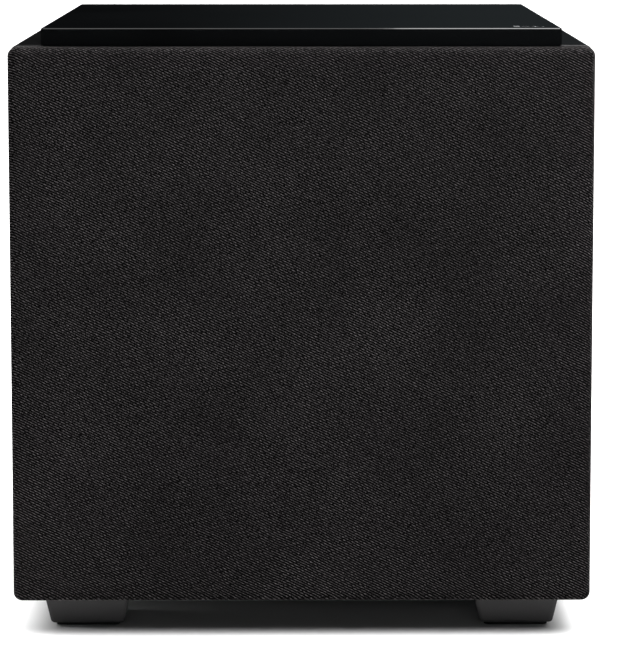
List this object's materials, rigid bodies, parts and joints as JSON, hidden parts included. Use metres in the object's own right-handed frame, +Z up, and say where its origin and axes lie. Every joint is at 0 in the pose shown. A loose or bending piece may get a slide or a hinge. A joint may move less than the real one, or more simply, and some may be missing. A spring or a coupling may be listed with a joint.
{
  "type": "powered subwoofer",
  "caption": "Compact cube subwoofer with a cloth front grille over the woofer, side passive radiators, a gloss top with touch marks and a rear amplifier plate.",
  "frame": {"origin": "on the floor, under the middle of the whole object's width and depth", "axes": "+Z up, the front grille faces -Y, the amplifier plate faces +Y, +X is the right side seen from the front"},
  "size_m": [0.36, 0.4, 0.3792],
  "materials": {
    "cabinet_laminate": "satin black laminate on fibreboard",
    "raw_board": "bare fibreboard",
    "gloss_top": "high-gloss black",
    "light_guide": "clear, faintly frosted",
    "circuit_board": "green solder mask",
    "foot_plastic": "satin black moulding",
    "pad_rubber": "matt black",
    "grille_cloth": "black acoustic cloth",
    "grille_board": "black moulded frame",
    "cast_frame": "black powder coat",
    "trim_plastic": "black moulding",
    "surround_rubber": "black butyl",
    "cone_paper": "coated fibre cone",
    "spider_cloth": "amber doped cloth",
    "former_foil": "foil",
    "copper_wire": "enamelled copper",
    "motor_steel": "zinc plated",
    "ferrite": "dark grey ferrite",
    "lead_sleeve": "red and black sleeve",
    "piston_metal": "dark anodised",
    "black_screws": "black oxide",
    "amp_metal": "black fine-texture paint",
    "sink_metal": "black anodised",
    "amp_components": "sleeved parts",
    "knob_plastic": "satin black",
    "socket_metal": "gold flash",
    "pin_metal": "nickel plate"
  },
  "bodies": {
    "cabinet": {"left_side_panel": "cabinet_laminate", "right_side_panel": "cabinet_laminate", "top_panel": "cabinet_laminate", "bottom_panel": "cabinet_laminate", "front_baffle": "cabinet_laminate", "rear_panel": "cabinet_laminate", "cabinet_brace": "raw_board", "top_cap": "gloss_top", "touch_light_guides": "light_guide", "touch_control_board": "circuit_board", "amp_board": "circuit_board", "foot_front_left": "foot_plastic", "foot_front_right": "foot_plastic", "foot_rear_left": "foot_plastic", "foot_rear_right": "foot_plastic", "foot_pads": "pad_rubber", "side_grille_cloth_left": "grille_cloth", "side_grille_cloth_right": "grille_cloth", "side_grille_plate_left": "grille_board", "side_grille_plate_right": "grille_board", "woofer_basket": "cast_frame", "radiator_frame_left": "cast_frame", "radiator_frame_right": "cast_frame", "woofer_trim_ring": "trim_plastic", "power_switch_body": "trim_plastic", "power_inlet": "trim_plastic", "woofer_terminals": "trim_plastic", "control_pots": "trim_plastic", "slide_switch_bodies": "trim_plastic", "woofer_surround": "surround_rubber", "radiator_surround_left": "surround_rubber", "radiator_surround_right": "surround_rubber", "woofer_spider": "spider_cloth", "woofer_front_plate": "motor_steel", "woofer_yoke": "motor_steel", "woofer_magnet": "ferrite", "woofer_leads": "lead_sleeve", "driver_screws": "black_screws", "amp_screws": "black_screws", "foot_screws": "black_screws", "amp_plate": "amp_metal", "heat_sink": "sink_metal", "amp_power_parts": "amp_components", "rca_jacks": "socket_metal", "inlet_pins": "pin_metal"},
    "grille": {"grille_rim": "grille_board", "grille_plate": "grille_board", "grille_pegs": "grille_board", "grille_cloth": "grille_cloth"},
    "cone": {"woofer_cone": "cone_paper", "woofer_dust_cap": "cone_paper", "woofer_coil_former": "former_foil", "woofer_voice_coil": "copper_wire"},
    "radiator_left": {"radiator_piston_left": "piston_metal"},
    "radiator_right": {"radiator_piston_right": "piston_metal"},
    "level_control": {"level_knob": "knob_plastic"},
    "crossover_control": {"crossover_knob": "knob_plastic"},
    "phase_control": {"phase_switch_lever": "knob_plastic"},
    "mode_control": {"mode_switch_lever": "knob_plastic"},
    "power_control": {"power_rocker": "knob_plastic"}
  },
  "joints": [
    {"name": "grille_pull", "type": "slide", "parent": "cabinet", "child": "grille", "axis": [0, -1, 0], "range_m": [0, 0.12]},
    {"name": "woofer_stroke", "type": "slide", "parent": "cabinet", "child": "cone", "axis": [0, -1, 0], "range_m": [-0.012, 0.012], "stiffness_N_per_m": 5000, "deforming": ["woofer_surround", "woofer_spider"]},
    {"name": "radiator_left_stroke", "type": "slide", "parent": "cabinet", "child": "radiator_left", "axis": [-1, 0, 0], "range_m": [-0.007, 0.007], "deforming": ["radiator_surround_left"]},
    {"name": "radiator_right_stroke", "type": "slide", "parent": "cabinet", "child": "radiator_right", "axis": [1, 0, 0], "range_m": [-0.007, 0.007], "deforming": ["radiator_surround_right"]},
    {"name": "level_turn", "type": "hinge", "parent": "cabinet", "child": "level_control", "pos_m": [0.07, 0.188, 0.172], "axis": [0, -1, 0], "range_deg": [-150, 150]},
    {"name": "crossover_turn", "type": "hinge", "parent": "cabinet", "child": "crossover_control", "pos_m": [0.02, 0.188, 0.172], "axis": [0, -1, 0], "range_deg": [-150, 150]},
    {"name": "phase_slide", "type": "slide", "parent": "cabinet", "child": "phase_control", "axis": [1, 0, 0], "range_m": [0, 0.004]},
    {"name": "mode_slide", "type": "slide", "parent": "cabinet", "child": "mode_control", "axis": [1, 0, 0], "range_m": [0, 0.004]},
    {"name": "power_rock", "type": "hinge", "parent": "cabinet", "child": "power_control", "pos_m": [-0.014, 0.188, 0.096], "axis": [1, 0, 0], "range_deg": [0, 20]}
  ],
  "couplings": [
    {"joint": "radiator_left_stroke", "follows": "woofer_stroke", "ratio": -0.5},
    {"joint": "radiator_right_stroke", "follows": "woofer_stroke", "ratio": -0.5}
  ]
}
